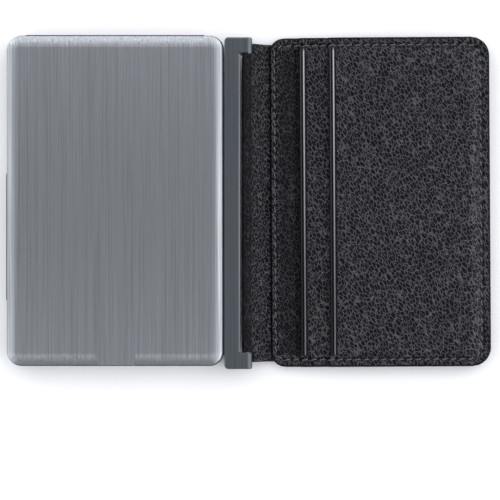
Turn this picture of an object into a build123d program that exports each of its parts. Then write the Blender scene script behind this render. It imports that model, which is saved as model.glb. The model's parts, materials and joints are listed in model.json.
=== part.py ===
from build123d import *
from math import atan2, cos, degrees, radians, sin, sqrt
import os

# A slim wallet, open and lying flat.  A metal card case is on the left, a rail runs along its right side, and
# a leather cover with card pockets hangs on a pin in the rail's end lugs.  Millimetres.
# +X is to the right, +Y is up the cards' length, +Z is up from the table.
# The origin is on the table, under the middle of the open wallet.

# ---------------------------------------------------------------- driving dimensions
open_half_width = 76.27      # from the origin to the left and the right end of the open wallet
running_gap = 0.05           # between a sliding piece and what guides it
rest_gap = 0.03              # between pieces that are fixed face to face

# card case
case_width = 68.4
case_length = 104.0
case_thickness = 9.2
case_shift_y = 0.4           # the case sits this much higher than the rail's seat
case_corner = 4.6
band_height = 0.8            # moulded band between the shells
band_proud = 0.5             # how far the band stands out of the shells
shell_wall = 0.9
shell_roll = 7.0             # radius of the rolled edge
roll_slope = 30.0            # degrees; where the roll meets the shell's side
land_width_inner = 12.5
land_width_edge = 11.2
land_depth = 3.6
land_offset = 0.4
land_drop = 2.6              # how far the land's flanks reach down
land_taper = 12              # and how many degrees they lean out

# card cavity
cavity_width = 55.2
cavity_height = 4.3
cavity_floor_y = -36.0       # lower end of the cards
cavity_top_y = 49.3
bay_low_y = -48.6            # lower end of the pusher's bay
mouth_low_y = 47.0
past_case = 60.0             # cutting blocks reach this far along Y, past the case
mouth_lip = 0.35
bond_sheet = 0.4

# thumb slider
knob_length = 12.0
knob_height = 2.9
knob_start_y = -30.0
slider_travel = 26.0
bezel = 0.5                  # moulded edge round the knob's slot
carriage_width = 3.8
carriage_height = 4.8
carriage_length = 33.0
rod_radius = 0.8
pusher_width = 38.0
pusher_steps = 5
step_rise = 2.4              # how much further each card comes out than the one behind it

# rail and its slot in the case
rail_gap = 0.18
bar_width = 4.9
rail_low_y = -52.4
rail_high_y = 51.5
rail_bottom = 1.6
lug_length = 5.0
lug_corner = 0.5             # rounding of the lugs' outer ends
knuckle_radius = 1.7
pin_radius = 0.75
pin_x = -0.7
pin_z = 7.4
rail_top = pin_z + knuckle_radius
bar_bevel = 0.45             # width of the bevel on the rail's top
bevel_slope = 30.0           # degrees; the bevel is flatter than a chamfer
neck_height = 1.2
head_height = 3.3
head_thickness = 1.2
lip_thickness = 1.7
slot_end_y = 41.0
receiver_end_y = 50.0
plunger_radius = 0.6
plunger_y = 44.5
plunger_bite = 0.35
plunger_travel = 0.4

# strap
strap_thickness = 1.3
crease_x = 5.7
crease_z = 1.5
strap_low_y = -50.4
strap_high_y = 49.8
strap_shoulder = 2.6         # where the strap widens, measured from the pin's axis

# cover panel
panel_width = 69.3
panel_length = 103.9
panel_shift_y = 0.05
panel_corner_spine = 4.7
panel_corner_edge = 6.0
panel_turn = 0.35            # the soft cover lies this many degrees askew
cover_leather = 1.1
board_thickness = 1.2
leaf_thickness = 0.85
lining_thickness = 0.25
sheet_gap = 0.05
stitch_inset = 3.1
stitch_width = 0.6
stitch_height = 0.25
mouth_rear = 9.4             # pocket mouths, measured from the spine edge of the panel
mouth_front = 18.7

# ---------------------------------------------------------------- derived positions
case_x = -open_half_width + case_width / 2
mid_z = case_thickness / 2
shell_width = case_width - 2 * band_proud
shell_length = case_length - 2 * band_proud
shell_corner = case_corner - band_proud
shell_height = (case_thickness - band_height) / 2
wall_x = case_x - cavity_width / 2
bar_x = case_x + case_width / 2 + rail_gap
edge_reach = (panel_width / 2 - panel_corner_edge) * cos(radians(panel_turn)) + panel_corner_edge
edge_reach = edge_reach + (panel_length / 2 - panel_corner_edge) * sin(radians(panel_turn))
panel_x = open_half_width - edge_reach
spine_x = panel_x - panel_width / 2
base_bottom = cover_leather + board_thickness + 2 * sheet_gap
base_top = base_bottom + leaf_thickness
rear_bottom = base_top + lining_thickness + 2 * sheet_gap
rear_top = rear_bottom + leaf_thickness
front_bottom = rear_top + lining_thickness + 2 * sheet_gap
front_top = front_bottom + leaf_thickness


def block(x0, x1, y0, y1, z0, z1):
    """A box between two corners."""
    centre = ((x0 + x1) / 2, (y0 + y1) / 2, (z0 + z1) / 2)
    return Pos(*centre) * Box(x1 - x0, y1 - y0, z1 - z0)


def rod(radius, x, y0, y1, z):
    """A round rod along Y."""
    return Pos(x, (y0 + y1) / 2, z) * Rot(90, 0, 0) * Cylinder(radius, y1 - y0)


def peg(radius, x0, x1, y, z):
    """A round peg along X."""
    return Pos((x0 + x1) / 2, y, z) * Rot(0, 90, 0) * Cylinder(radius, x1 - x0)


def pillow(width, length, height, corner, roll):
    """A rounded slab whose upper edge is rolled off by a wide arc, cut off by the slab's sides."""
    beyond = shell_roll * (1 - sin(radians(roll_slope)))
    outline = RectangleRounded(width + 2 * beyond, length + 2 * beyond, corner + beyond)
    crown = Pos(0, 0, height - roll - 1) * extrude(outline, roll + 1)
    crown = fillet(crown.edges().group_by(Axis.Z)[-1], roll)
    return crown & extrude(RectangleRounded(width, length, corner), height)


# ---------------------------------------------------------------- card case
def receiver_envelope(grow):
    """The block in the case's right side that the rail's slot is cut in."""
    right = case_x + case_width / 2
    high = receiver_end_y + grow
    lips_half = 1.9 + grow
    chamber_half = 2.6 + grow
    inner = right - lip_thickness - head_thickness - 1.0 - grow
    lips = block(right - lip_thickness, right + grow, -past_case, high, mid_z - lips_half, mid_z + lips_half)
    chamber = block(inner, right - lip_thickness, -past_case, high,
                    mid_z - chamber_half, mid_z + chamber_half)
    return lips + chamber


def mouth_window(grow):
    """The opening that the cards pass through at the upper end, and the lips round it."""
    half_width = cavity_width / 2 + grow
    half_height = cavity_height / 2 + grow
    left, right = case_x - half_width, case_x + half_width
    return block(left, right, mouth_low_y, past_case, mid_z - half_height, mid_z + half_height)


def slider_window(grow):
    """The slot in the left side that the thumb knob runs in."""
    half = knob_height / 2 + running_gap + grow
    low = knob_start_y - 0.3 - grow
    high = knob_start_y + knob_length + slider_travel + 0.3 + grow
    return block(-open_half_width - 1, wall_x - 3.3, low, high, mid_z - half, mid_z + half)


def shell_solid(inset):
    """Half of the case with its open side down at z = 0: the outside, or with an inset the hollow in it."""
    return pillow(shell_width - 2 * inset, shell_length - 2 * inset, shell_height - inset,
                  shell_corner - inset, shell_roll - inset)


def with_openings(shell):
    """A placed shell, less the cards' mouth, the slider's slot and the rail's receiver."""
    shell = shell - mouth_window(mouth_lip + rest_gap)
    shell = shell - slider_window(bezel + rest_gap)
    return shell - receiver_envelope(rest_gap)


def case_front_shell():
    """Upper shell, with a flat land that runs out to the lower edge."""
    edge = -shell_length / 2
    inner_half = land_width_inner / 2
    edge_half = land_width_edge / 2
    outline = Polyline((-inner_half, edge + land_depth), (inner_half, edge + land_depth), (edge_half, edge),
                       (-edge_half, edge), close=True)
    land = extrude(make_face(outline), land_drop, dir=(0, 0, -1), taper=-land_taper)
    land = Pos(land_offset, 0, shell_height) * land
    keep_in = extrude(RectangleRounded(shell_width, shell_length, shell_corner), shell_height)
    shell = shell_solid(0) + (land & keep_in) - shell_solid(shell_wall)
    return with_openings(Pos(case_x, case_shift_y, mid_z + band_height / 2) * shell)


def case_back_shell():
    """Lower shell, the one that lies on the table."""
    shell = shell_solid(0) - shell_solid(shell_wall)
    return with_openings(Pos(case_x, case_shift_y, mid_z - band_height / 2) * Rot(180, 0, 0) * shell)


def slider_channel():
    """The room inside the left wall that the carriage slides in."""
    left = wall_x - carriage_width - 0.6
    half = carriage_height / 2 + 0.2
    low = knob_start_y - 17
    high = low + carriage_length + slider_travel + 1.0
    return block(left, left + carriage_width + 0.2, low, high, mid_z - half, mid_z + half)


def case_core_frame():
    """Moulded frame: the visible band, the walls round the cards, the mouth's lips and the slider's slot."""
    body_width = shell_width - 2 * shell_wall - 2 * rest_gap
    body_length = shell_length - 2 * shell_wall - 2 * rest_gap
    half_height = mid_z - shell_wall - rest_gap
    half_body = pillow(body_width, body_length, half_height,
                       shell_corner - shell_wall, shell_roll - shell_wall)
    body = half_body + Rot(180, 0, 0) * half_body
    band = extrude(RectangleRounded(case_width, case_length, case_corner),
                   band_height / 2 - rest_gap, both=True)
    outline = extrude(RectangleRounded(case_width, case_length, case_corner), mid_z, both=True)
    frame = Pos(case_x, case_shift_y, mid_z) * (body + band)
    outline = Pos(case_x, case_shift_y, mid_z) * outline
    mouth_lips = mouth_window(mouth_lip) & outline
    mouth_lips = chamfer(mouth_lips.faces().sort_by(Axis.Y)[-1].edges().filter_by(Axis.X), 0.3)
    slot_bezel = slider_window(bezel) & outline & block(-90, wall_x - 1, -past_case, past_case, 0, 20)
    frame = frame + mouth_lips + slot_bezel
    # the cards' room, open through the mouth, and the pusher's bay below it
    half_width = cavity_width / 2
    cards = block(case_x - half_width, case_x + half_width, cavity_floor_y, cavity_top_y, 0, 20)
    frame = frame - cards - mouth_window(0)
    frame = frame - block(case_x - half_width, case_x + half_width, bay_low_y, cavity_floor_y - 1.6, 0, 20)
    for side in (-1, 1):
        clear_of_plates = mid_z + side * (cavity_height / 2 + 5)
        frame = frame - block(case_x - half_width, case_x + half_width, bay_low_y, cavity_top_y,
                              clear_of_plates - 5, clear_of_plates + 5)
    half_bay = pusher_width / 2 + 1.0
    frame = frame - block(case_x - half_bay, case_x + half_bay, cavity_floor_y - 2, cavity_floor_y + 1, 0, 20)
    # the slider's channel, the slot for its arm and the rod's seats
    frame = frame - slider_channel() - slider_window(0)
    arm_high = -45 + slider_travel + 0.4
    frame = frame - block(wall_x - 2, case_x - half_bay + 1, bay_low_y, arm_high, mid_z - 0.7, mid_z + 0.7)
    frame = frame - rod(rod_radius + 0.02, rod_x(), -49.4, 17.0, mid_z)
    # the rail's receiver, its screws and the recess of the brake spring
    right = case_x + case_width / 2
    frame = frame - receiver_envelope(rest_gap)
    behind_lips = right - lip_thickness - 0.1
    frame = frame - block(behind_lips, right - 1, -past_case, receiver_end_y, mid_z - 2.7, mid_z + 2.7)
    for y in screw_places():
        frame = frame - peg(0.52, case_x + half_width + 0.2, case_x + half_width + 4, y, mid_z)
    wall = case_x + half_width
    frame = frame - block(wall - 1, wall + 0.9, 9, 35, mid_z - 1.6, mid_z + 1.6)
    return frame


def rod_x():
    """Centre of the slider's guide rod."""
    return wall_x - carriage_width / 2 - 0.45


def screw_places():
    """The screws that hold the receiver are spaced along the case."""
    return [-38, -14, 4, 38]


def guide_plate(front):
    """Thin moulded plate that the cards slide on, grooved so that they do not stick to it."""
    half_width = cavity_width / 2 - 0.1
    low = mid_z - cavity_height / 2 - 0.95
    high = low + 0.92
    if front:
        low, high = 2 * mid_z - high, 2 * mid_z - low
    plate = block(case_x - half_width, case_x + half_width, -48.4, 49.2, low, high)
    inner_face = low if front else high
    for x in (-21, -7, 7, 21):
        groove = block(case_x + x - 2, case_x + x + 2, -50, 50, inner_face - 0.25, inner_face + 0.25)
        plate = plate - groove
    return plate


def bond_pad(front):
    """Adhesive foam sheet between a shell and its guide plate."""
    half_width = cavity_width / 2 - 0.3
    low = shell_wall + rest_gap
    high = low + bond_sheet
    if front:
        low, high = 2 * mid_z - high, 2 * mid_z - low
    return block(case_x - half_width, case_x + half_width, -46, 46, low, high)


def rail_receiver():
    """Channel with a T-shaped slot, open at the lower end and closed at the upper end."""
    outline = extrude(RectangleRounded(case_width - 0.1, case_length - 0.1, case_corner), mid_z, both=True)
    outline = Pos(case_x, case_shift_y, mid_z) * outline
    channel = receiver_envelope(0) & outline
    right = case_x + case_width / 2
    half_neck = neck_height / 2 + running_gap
    half_head = head_height / 2 + running_gap
    behind_lips = right - lip_thickness - 0.1
    neck = block(behind_lips, right + 1, -past_case, slot_end_y, mid_z - half_neck, mid_z + half_neck)
    deep = right - lip_thickness - head_thickness - 2 * running_gap
    head = block(deep, right - lip_thickness, -past_case, slot_end_y, mid_z - half_head, mid_z + half_head)
    dimple = peg(plunger_radius + 0.1, right - plunger_bite - 0.15, right + 1, plunger_y, mid_z)
    channel = channel - neck - head - dimple
    for y in screw_places():
        cone = Pos(deep - 0.3, y, mid_z) * Rot(0, 90, 0) * Cone(0.52, 1.12, 0.62)
        channel = channel - cone - peg(0.52, deep - 4, deep + 0.1, y, mid_z)
    return channel


def receiver_screws():
    """Countersunk screws through the channel's back into the frame."""
    deep = case_x + case_width / 2 - lip_thickness - head_thickness - 2 * running_gap
    screws = []
    for y in screw_places():
        head = Pos(deep - 0.3, y, mid_z) * Rot(0, 90, 0) * Cone(0.5, 1.1, 0.6)
        shank = peg(0.5, case_x + cavity_width / 2 + 0.4, deep - 0.55, y, mid_z)
        slot = block(deep - 0.2, deep + 1, y - 2, y + 2, mid_z - 0.12, mid_z + 0.12)
        screws.append(head + shank - slot)
    return Compound(screws)


def leaf_spring(x, y0, y1, z, rise, width, thickness):
    """A strip bowed by `rise` between y0 and y1, facing -X."""
    half = (y1 - y0) / 2
    outer = ThreePointArc((0, -half), (-rise, 0), (0, half))
    inner = ThreePointArc((thickness, half), (thickness - rise, 0), (thickness, -half))
    ends = [Line((0, half), (thickness, half)), Line((thickness, -half), (0, -half))]
    strip = extrude(make_face(Curve() + [outer, ends[0], inner, ends[1]]), width / 2, both=True)
    return Pos(x, (y0 + y1) / 2, z) * strip


def card_brake_spring():
    """Bowed leaf in the right wall that keeps the cards from falling out."""
    return leaf_spring(case_x + cavity_width / 2 + 0.55, 9.5, 34.5, mid_z, 0.8, 2.8, 0.25)


# ---------------------------------------------------------------- thumb slider
def slider_carriage():
    """Block that slides on the guide rod."""
    left = wall_x - carriage_width - 0.5
    low = knob_start_y - 16.5
    half = carriage_height / 2
    carriage = block(left, left + carriage_width, low, low + carriage_length, mid_z - half, mid_z + half)
    carriage = carriage - rod(rod_radius + running_gap, rod_x(), low - 1, low + carriage_length + 1, mid_z)
    # the seat of the click spring on top, and the seat of the pusher's arm
    carriage = carriage - block(left + 0.6, left + 3.2, low + 8, low + 26,
                                mid_z + half - 0.5, mid_z + half + 1)
    right = left + carriage_width
    return carriage - block(right - 0.5, right + 1, -48, -44.9, mid_z - 0.65, mid_z + 0.65)


def thumb_knob():
    """Ribbed knob, flush with the case's left side."""
    left = -open_half_width + 0.1
    right = wall_x - carriage_width - 0.5 - rest_gap
    half = knob_height / 2
    knob = block(left, right, knob_start_y, knob_start_y + knob_length, mid_z - half, mid_z + half)
    for count in range(7):
        y = knob_start_y + 1.5 + count * 1.5
        knob = knob - block(left - 1, left + 0.35, y - 0.35, y + 0.35, mid_z - half - 1, mid_z + half + 1)
    return knob


def step_pusher():
    """Stair-shaped pusher under the cards and the arm that joins it to the carriage."""
    thick = (cavity_height - 0.3) / pusher_steps
    bottom = mid_z - cavity_height / 2 + 0.15
    half = pusher_width / 2
    pusher = block(case_x - half, case_x + half, -48.3, -47.0, bottom, bottom + thick * pusher_steps)
    for count in range(pusher_steps):
        top = cavity_floor_y - 0.8 - count * step_rise
        low = bottom + count * thick
        pusher = pusher + block(case_x - half, case_x + half, -48.3, top, low, low + thick)
    arm = block(wall_x - 0.5 - 0.45, case_x - half + 0.5, -47.9, -45, mid_z - 0.6, mid_z + 0.6)
    return pusher + arm


def slider_click_spring():
    """Leaf that makes the slider click at its ends, in its seat on the carriage."""
    low = knob_start_y - 16.5
    leaf = leaf_spring(0, low + 8.3, low + 25.7, 0, 0.35, 2.2, 0.2)
    seat = Pos(wall_x - carriage_width - 0.5 + 1.9, 0, mid_z + carriage_height / 2 - 0.3)
    return seat * Rot(0, 90, 0) * leaf


# ---------------------------------------------------------------- rail
def hinge_lug(low):
    """Lug flush with the bar's top, rounded about the pin."""
    high = low + lug_length
    knuckle = rod(knuckle_radius, pin_x, low, high, pin_z)
    web = block(bar_x + 1, pin_x, low, high, pin_z - knuckle_radius, rail_top)
    brace = block(bar_x + 1, bar_x + bar_width + 0.7, low, high, rail_bottom, pin_z)
    return knuckle + web + brace


def rail_body():
    """Bar with a T-shaped tongue on its left and two hinge lugs on its right."""
    right = bar_x + bar_width
    inner_low = rail_low_y + lug_length
    inner_high = rail_high_y - lug_length
    rail = block(bar_x, right, rail_low_y, rail_high_y, rail_bottom, rail_top)
    rail = chamfer(rail.edges().filter_by(Axis.Y).sort_by(Axis.X)[:2], 0.25)
    rail = fillet(rail.edges().filter_by(Axis.Z).sort_by(Axis.X)[:2], 1.3)
    rail = rail + hinge_lug(rail_low_y) + hinge_lug(inner_high)
    ends = rail.edges().filter_by(GeomType.CIRCLE).filter_by(lambda e: e.center().X > pin_x)
    rail = fillet([e for e in ends if abs(e.center().Y) > inner_high + 1], lug_corner)
    # a chamfer along the inner side, between the lugs and up their inner faces
    bevel_depth = bar_bevel * sin(radians(bevel_slope))
    bevel = Rot(0, bevel_slope, 0) * Pos(0, 0, 1 - bevel_depth) * Box(4, inner_high - inner_low, 2)
    rail = rail - Pos(right, (inner_low + inner_high) / 2, rail_top) * bevel
    for y in (inner_low, inner_high):
        cut = Rot(45, 0, 0) * Box(pin_x - right + 2 * bar_bevel, bar_bevel, bar_bevel)
        rail = rail - Pos((right + pin_x) / 2, y, rail_top) * cut
    neck_left = case_x + case_width / 2 - lip_thickness - running_gap
    half_neck = neck_height / 2
    half_head = head_height / 2
    tongue_low = rail_low_y + 4.2
    tongue_high = slot_end_y - 0.1
    neck = block(neck_left - 0.2, bar_x + 0.5, tongue_low, tongue_high, mid_z - half_neck, mid_z + half_neck)
    head_left = neck_left - head_thickness
    head = block(head_left, neck_left, tongue_low, tongue_high, mid_z - half_head, mid_z + half_head)
    rail = rail + neck + head
    rail = rail - rod(pin_radius + 0.01, pin_x, rail_low_y - 1, rail_high_y + 1, pin_z)
    return rail - peg(plunger_radius + running_gap, bar_x - 1, bar_x + 4.2, plunger_y, mid_z)


def hinge_pin():
    """Steel pin through both lugs and the strap's loop."""
    return rod(pin_radius, pin_x, rail_low_y + 0.7, rail_high_y - 0.7, pin_z)


def pin_end_plugs():
    """Short plugs that close the lug bores over the pin's ends."""
    low = rod(pin_radius, pin_x, rail_low_y + 0.05, rail_low_y + 0.65, pin_z)
    high = rod(pin_radius, pin_x, rail_high_y - 0.65, rail_high_y - 0.05, pin_z)
    return Compound([low, high])


def detent_plunger():
    """Round-nosed plunger that clicks into the receiver's dimple."""
    tip = case_x + case_width / 2 - plunger_bite
    stem = peg(plunger_radius, tip + 0.5, bar_x + 1.9, plunger_y, mid_z)
    nose = Pos(tip + 0.25, plunger_y, mid_z) * Rot(0, 90, 0) * Cone(0.25, plunger_radius, 0.5)
    return stem + nose


def detent_spring():
    """Coil spring behind the plunger, as separate rings of wire."""
    rings = []
    first = bar_x + 1.9 + plunger_travel + 0.2
    for count in range(4):
        ring = Torus(0.42, 0.13)
        rings.append(Pos(first + count * 0.4, plunger_y, mid_z) * Rot(0, 90, 0) * ring)
    return Compound(rings)


# ---------------------------------------------------------------- strap
def hinge_strap():
    """Leather strap: a loop round the pin and a sloping web down to the crease at the cover."""
    run = crease_x - pin_x
    drop = pin_z - crease_z
    length = sqrt(run ** 2 + drop ** 2)
    half = strap_thickness / 2
    inner_low = rail_low_y + lug_length + 0.1
    inner_high = rail_high_y - lug_length - 0.1
    loop_radius = pin_radius + running_gap + strap_thickness / 2 + 0.05
    loop = rod(loop_radius, 0, inner_low, inner_high, 0)
    narrow = block(0, strap_shoulder, inner_low, inner_high, -half, half)
    wide = block(strap_shoulder, length, strap_low_y, strap_high_y, -half, half)
    tip = rod(half, length, strap_low_y, strap_high_y, 0)
    bore = rod(pin_radius + running_gap, 0, inner_low - 1, inner_high + 1, 0)
    strap = loop + narrow + wide + tip - bore
    slope = degrees(atan2(drop, run))
    return Pos(pin_x, 0, pin_z) * Rot(0, slope, 0) * strap


# ---------------------------------------------------------------- cover panel
def panel_outline(left_inset, inset):
    """The panel's outline, spine corners smaller than the outer ones, drawn about the panel's middle."""
    low_x = -panel_width / 2 + left_inset
    high_x = panel_width / 2 - inset
    half = panel_length / 2 - inset
    sheet = make_face(Polyline((low_x, -half), (high_x, -half), (high_x, half), (low_x, half), close=True))
    by_side = sheet.vertices().sort_by(Axis.X)
    sheet = fillet(by_side[:2], panel_corner_spine - inset)
    return fillet(sheet.vertices().sort_by(Axis.X)[-2:], panel_corner_edge - inset)


def lay(shape):
    """Put a panel piece drawn about the panel's middle in its place."""
    return Pos(panel_x, panel_shift_y, 0) * Rot(0, 0, panel_turn) * shape


def panel_sheet(left_inset, inset, bottom, thickness):
    """A flat sheet of the panel's outline."""
    return lay(Pos(0, 0, bottom) * extrude(panel_outline(left_inset, inset), thickness))


def pocket_leaf(mouth, inset, bottom, thickness):
    """A sheet of the panel's outline, cut off straight at the pocket's mouth."""
    sheet = Pos(0, 0, bottom) * extrude(panel_outline(0, inset), thickness)
    cut = block(-60, -panel_width / 2 + mouth, -60, 60, bottom - 1, bottom + thickness + 1)
    return lay(sheet - cut)


spine_clear = crease_x + 1.35 - spine_x      # lower layers keep this far from the spine edge


def outer_cover():
    """Leather on the far side, with a shallow channel for its stitching."""
    half_x = panel_width / 2 - stitch_inset
    half_y = panel_length / 2 - stitch_inset
    ring = RectangleRounded(2 * half_x + 1, 2 * half_y + 1, 2)
    ring = ring - RectangleRounded(2 * half_x - 1, 2 * half_y - 1, 1)
    channel = extrude(ring, stitch_height + 0.15)
    return panel_sheet(spine_clear, 0, 0, cover_leather) - lay(channel)


def strap_tail():
    """End of the strap, sewn in between the cover's leather and the board."""
    low = -panel_width / 2 + spine_clear
    bottom = cover_leather + sheet_gap
    half = panel_length / 2 - 1.6
    return lay(block(low, low + 7, -half, half, bottom, bottom + board_thickness))


def stiffener_board():
    """Board that keeps the cover flat."""
    low = -panel_width / 2 + spine_clear + 7.2
    bottom = cover_leather + sheet_gap
    half = panel_length / 2 - 1.6
    return lay(block(low, panel_width / 2 - 1.6, -half, half, bottom, bottom + board_thickness))


def stitch_bars(levels, half_x, half_y):
    """Lines of thread along the four sides; each level is its start and end along X and its height."""
    bars = []
    half = stitch_width / 2
    for x0, x1, z in levels:
        for y in (-half_y, half_y):
            bars.append(block(x0, x1, y - half, y + half, z, z + stitch_height))
    for x, z in ((-half_x, levels[0][2]), (half_x, levels[-1][2])):
        bars.append(block(x - half, x + half, -half_y + 0.8, half_y - 0.8, z, z + stitch_height))
    return lay(Compound(bars))


def inner_stitching():
    """Thread on the pocket side, at the height of each layer."""
    half_x = panel_width / 2 - stitch_inset
    half_y = panel_length / 2 - stitch_inset
    spine = -panel_width / 2
    levels = [(spine + stitch_inset + 0.6, spine + mouth_rear - 0.2, base_top + 0.02),
              (spine + mouth_rear + 0.2, spine + mouth_front - 0.2, rear_top + 0.02),
              (spine + mouth_front + 0.2, half_x - 0.6, front_top + 0.02)]
    return stitch_bars(levels, half_x, half_y)


def outer_stitching():
    """Thread on the far side, laid in the cover's channel."""
    half_x = panel_width / 2 - stitch_inset
    half_y = panel_length / 2 - stitch_inset
    return stitch_bars([(-half_x + 0.6, half_x - 0.6, 0.08)], half_x, half_y)


# ---------------------------------------------------------------- the assembly
pieces = {
    "case_front_shell": case_front_shell(),
    "case_back_shell": case_back_shell(),
    "case_core_frame": case_core_frame(),
    "front_guide_plate": guide_plate(front=True),
    "back_guide_plate": guide_plate(front=False),
    "front_bond_pad": bond_pad(front=True),
    "back_bond_pad": bond_pad(front=False),
    "rail_receiver": rail_receiver(),
    "receiver_screws": receiver_screws(),
    "card_brake_spring": card_brake_spring(),
    "guide_rod": rod(rod_radius, rod_x(), -49.3, 16.9, mid_z),
    "slider_carriage": slider_carriage(),
    "thumb_knob": thumb_knob(),
    "step_pusher": step_pusher(),
    "slider_click_spring": slider_click_spring(),
    "rail_body": rail_body(),
    "hinge_pin": hinge_pin(),
    "pin_end_plugs": pin_end_plugs(),
    "detent_plunger": detent_plunger(),
    "detent_spring": detent_spring(),
    "hinge_strap": hinge_strap(),
    "outer_cover": outer_cover(),
    "strap_tail": strap_tail(),
    "stiffener_board": stiffener_board(),
    "base_leather": panel_sheet(0, 0, base_bottom, leaf_thickness),
    "rear_pocket_lining": pocket_leaf(mouth_rear + 2, 1.2, base_top + sheet_gap, lining_thickness),
    "rear_pocket": pocket_leaf(mouth_rear, 0, rear_bottom, leaf_thickness),
    "front_pocket_lining": pocket_leaf(mouth_front + 2, 1.2, rear_top + sheet_gap, lining_thickness),
    "front_pocket": pocket_leaf(mouth_front, 0, front_bottom, leaf_thickness),
    "inner_stitching": inner_stitching(),
    "outer_stitching": outer_stitching(),
}

os.makedirs("parts", exist_ok=True)
for name, shape in pieces.items():
    export_step(shape, "parts/" + name + ".step")
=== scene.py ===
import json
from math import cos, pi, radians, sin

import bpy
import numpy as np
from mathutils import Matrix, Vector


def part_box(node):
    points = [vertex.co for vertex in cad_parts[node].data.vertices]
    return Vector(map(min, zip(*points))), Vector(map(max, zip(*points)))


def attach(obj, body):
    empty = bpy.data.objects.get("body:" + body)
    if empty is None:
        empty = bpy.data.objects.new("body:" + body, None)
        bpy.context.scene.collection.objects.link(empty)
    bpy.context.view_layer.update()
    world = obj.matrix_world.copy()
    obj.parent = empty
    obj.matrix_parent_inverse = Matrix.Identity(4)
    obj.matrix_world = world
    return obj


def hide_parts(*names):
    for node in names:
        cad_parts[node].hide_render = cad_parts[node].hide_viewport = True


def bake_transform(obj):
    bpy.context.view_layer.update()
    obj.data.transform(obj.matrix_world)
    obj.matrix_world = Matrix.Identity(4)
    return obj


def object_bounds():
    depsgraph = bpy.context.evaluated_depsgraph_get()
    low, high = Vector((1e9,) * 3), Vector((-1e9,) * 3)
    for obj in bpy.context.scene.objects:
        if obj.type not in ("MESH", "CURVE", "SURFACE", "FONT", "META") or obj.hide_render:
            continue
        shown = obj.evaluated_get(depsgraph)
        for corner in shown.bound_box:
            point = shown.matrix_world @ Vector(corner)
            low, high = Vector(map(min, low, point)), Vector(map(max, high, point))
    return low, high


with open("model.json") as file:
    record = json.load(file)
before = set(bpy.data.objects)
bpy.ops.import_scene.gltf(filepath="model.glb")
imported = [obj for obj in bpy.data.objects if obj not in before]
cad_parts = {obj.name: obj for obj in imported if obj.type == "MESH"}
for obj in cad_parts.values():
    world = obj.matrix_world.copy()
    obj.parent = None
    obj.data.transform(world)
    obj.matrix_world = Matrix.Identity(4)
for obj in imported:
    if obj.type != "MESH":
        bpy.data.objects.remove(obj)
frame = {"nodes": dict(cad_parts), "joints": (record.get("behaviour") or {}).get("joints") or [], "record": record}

# %% [markdown]
# # A slim wallet: metal card case, side rail and leather cover
# The frame above holds the wallet's hard parts where they were designed.  This notebook gives them their
# finishes, and makes the leather, the seams and the threads, which a design model only marks as plain slabs.
# Everything is in metres.  +X runs from the case to the cover, +Y along the cards, +Z up from the table.

mm = 0.001
cad_low, cad_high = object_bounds()
nodes = frame["nodes"]
print("design model", [round((high - low) / mm, 1) for low, high in zip(cad_low, cad_high)], "mm")

# %% [markdown]
# ## Where the leather goes
# The cover is a stack of sheets with one outline: a rectangle with small round corners at the spine and
# larger ones at the free edge.  It lies a fraction of a degree askew, as soft covers do.  The design model's
# boxes give its place.  The outline is worked out about the cover's own middle and then turned.

# %% The cover's size and place
cover_turn = radians(0.35)
spine_corner = 4.7 * mm
free_corner = 6.0 * mm
base_low, base_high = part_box("base_leather")
rear_low, rear_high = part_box("rear_pocket")
front_low, front_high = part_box("front_pocket")
outer_low, outer_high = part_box("outer_cover")
mean_corner = (spine_corner + free_corner) / 2
base_size = base_high - base_low
cover_width = base_size.x - (base_size.y - 2 * mean_corner) * sin(cover_turn)
cover_length = base_size.y - (base_size.x - 2 * mean_corner) * sin(cover_turn)
cover_middle = (base_low + base_high) / 2
half_width = cover_width / 2
half_length = cover_length / 2
mouth_rear = 9.4 * mm
mouth_front = 18.7 * mm
print("cover", round(cover_width / mm, 2), "x", round(cover_length / mm, 2), "mm")


def lay(points):
    """Turn points drawn about the cover's middle by the cover's angle, and move them to its place."""
    turned = np.array(points, float)
    x, y = turned[:, 0].copy(), turned[:, 1].copy()
    turned[:, 0] = x * cos(cover_turn) - y * sin(cover_turn) + cover_middle.x
    turned[:, 1] = x * sin(cover_turn) + y * cos(cover_turn) + cover_middle.y
    return turned


# %% Helpers for smooth shapes
def rise(value, start, end):
    """A smooth step from 0 at `start` to 1 at `end`: 3t^2 - 2t^3."""
    t = np.clip((value - start) / (end - start), 0, 1)
    return t * t * (3 - 2 * t)


def bell(value, centre, half):
    """A bell curve of height 1, about `half` wide each side of `centre`: e to the minus squared distance."""
    return np.exp(-((value - centre) / half) ** 2)


def inside_distance(x, y, box, corners):
    """Distance inside a rectangle with rounded corners, negative outside.

    box is (left, right, bottom, top) and corners the two corner radii, left and right.  The distance is
    measured from the corner's centre where a point lies beyond it both ways, and from the nearest side
    elsewhere.
    """
    left, right, bottom, top = box
    corner = np.where(x < (left + right) / 2, corners[0], corners[1])
    across = np.abs(x - (left + right) / 2) - (right - left) / 2 + corner
    along = np.abs(y - (bottom + top) / 2) - (top - bottom) / 2 + corner
    outside = np.hypot(np.maximum(across, 0), np.maximum(along, 0))
    return corner - outside - np.minimum(np.maximum(across, along), 0)


cover_box = (-half_width, half_width, -half_length, half_length)
cover_corners = (spine_corner, free_corner)


def edge_distance(x, y):
    """Distance inside the cover's own outline."""
    return inside_distance(x, y, cover_box, cover_corners)


# %% [markdown]
# ## The stitch line
# One row of saddle stitching runs round the cover, nearer the edge at the spine than at the free side.  The
# same row serves the inside and the outside, so its places are worked out once: walk round a rounded
# rectangle and stop once every stitch.

# %% Stitch places
stitch_box = (-half_width + 1.5 * mm, half_width - 2.9 * mm, -half_length + 2.3 * mm, half_length - 2.5 * mm)
stitch_corners = (3.2 * mm, 4.2 * mm)
stitch_pitch = 2.75 * mm
arc_steps = 24


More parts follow.
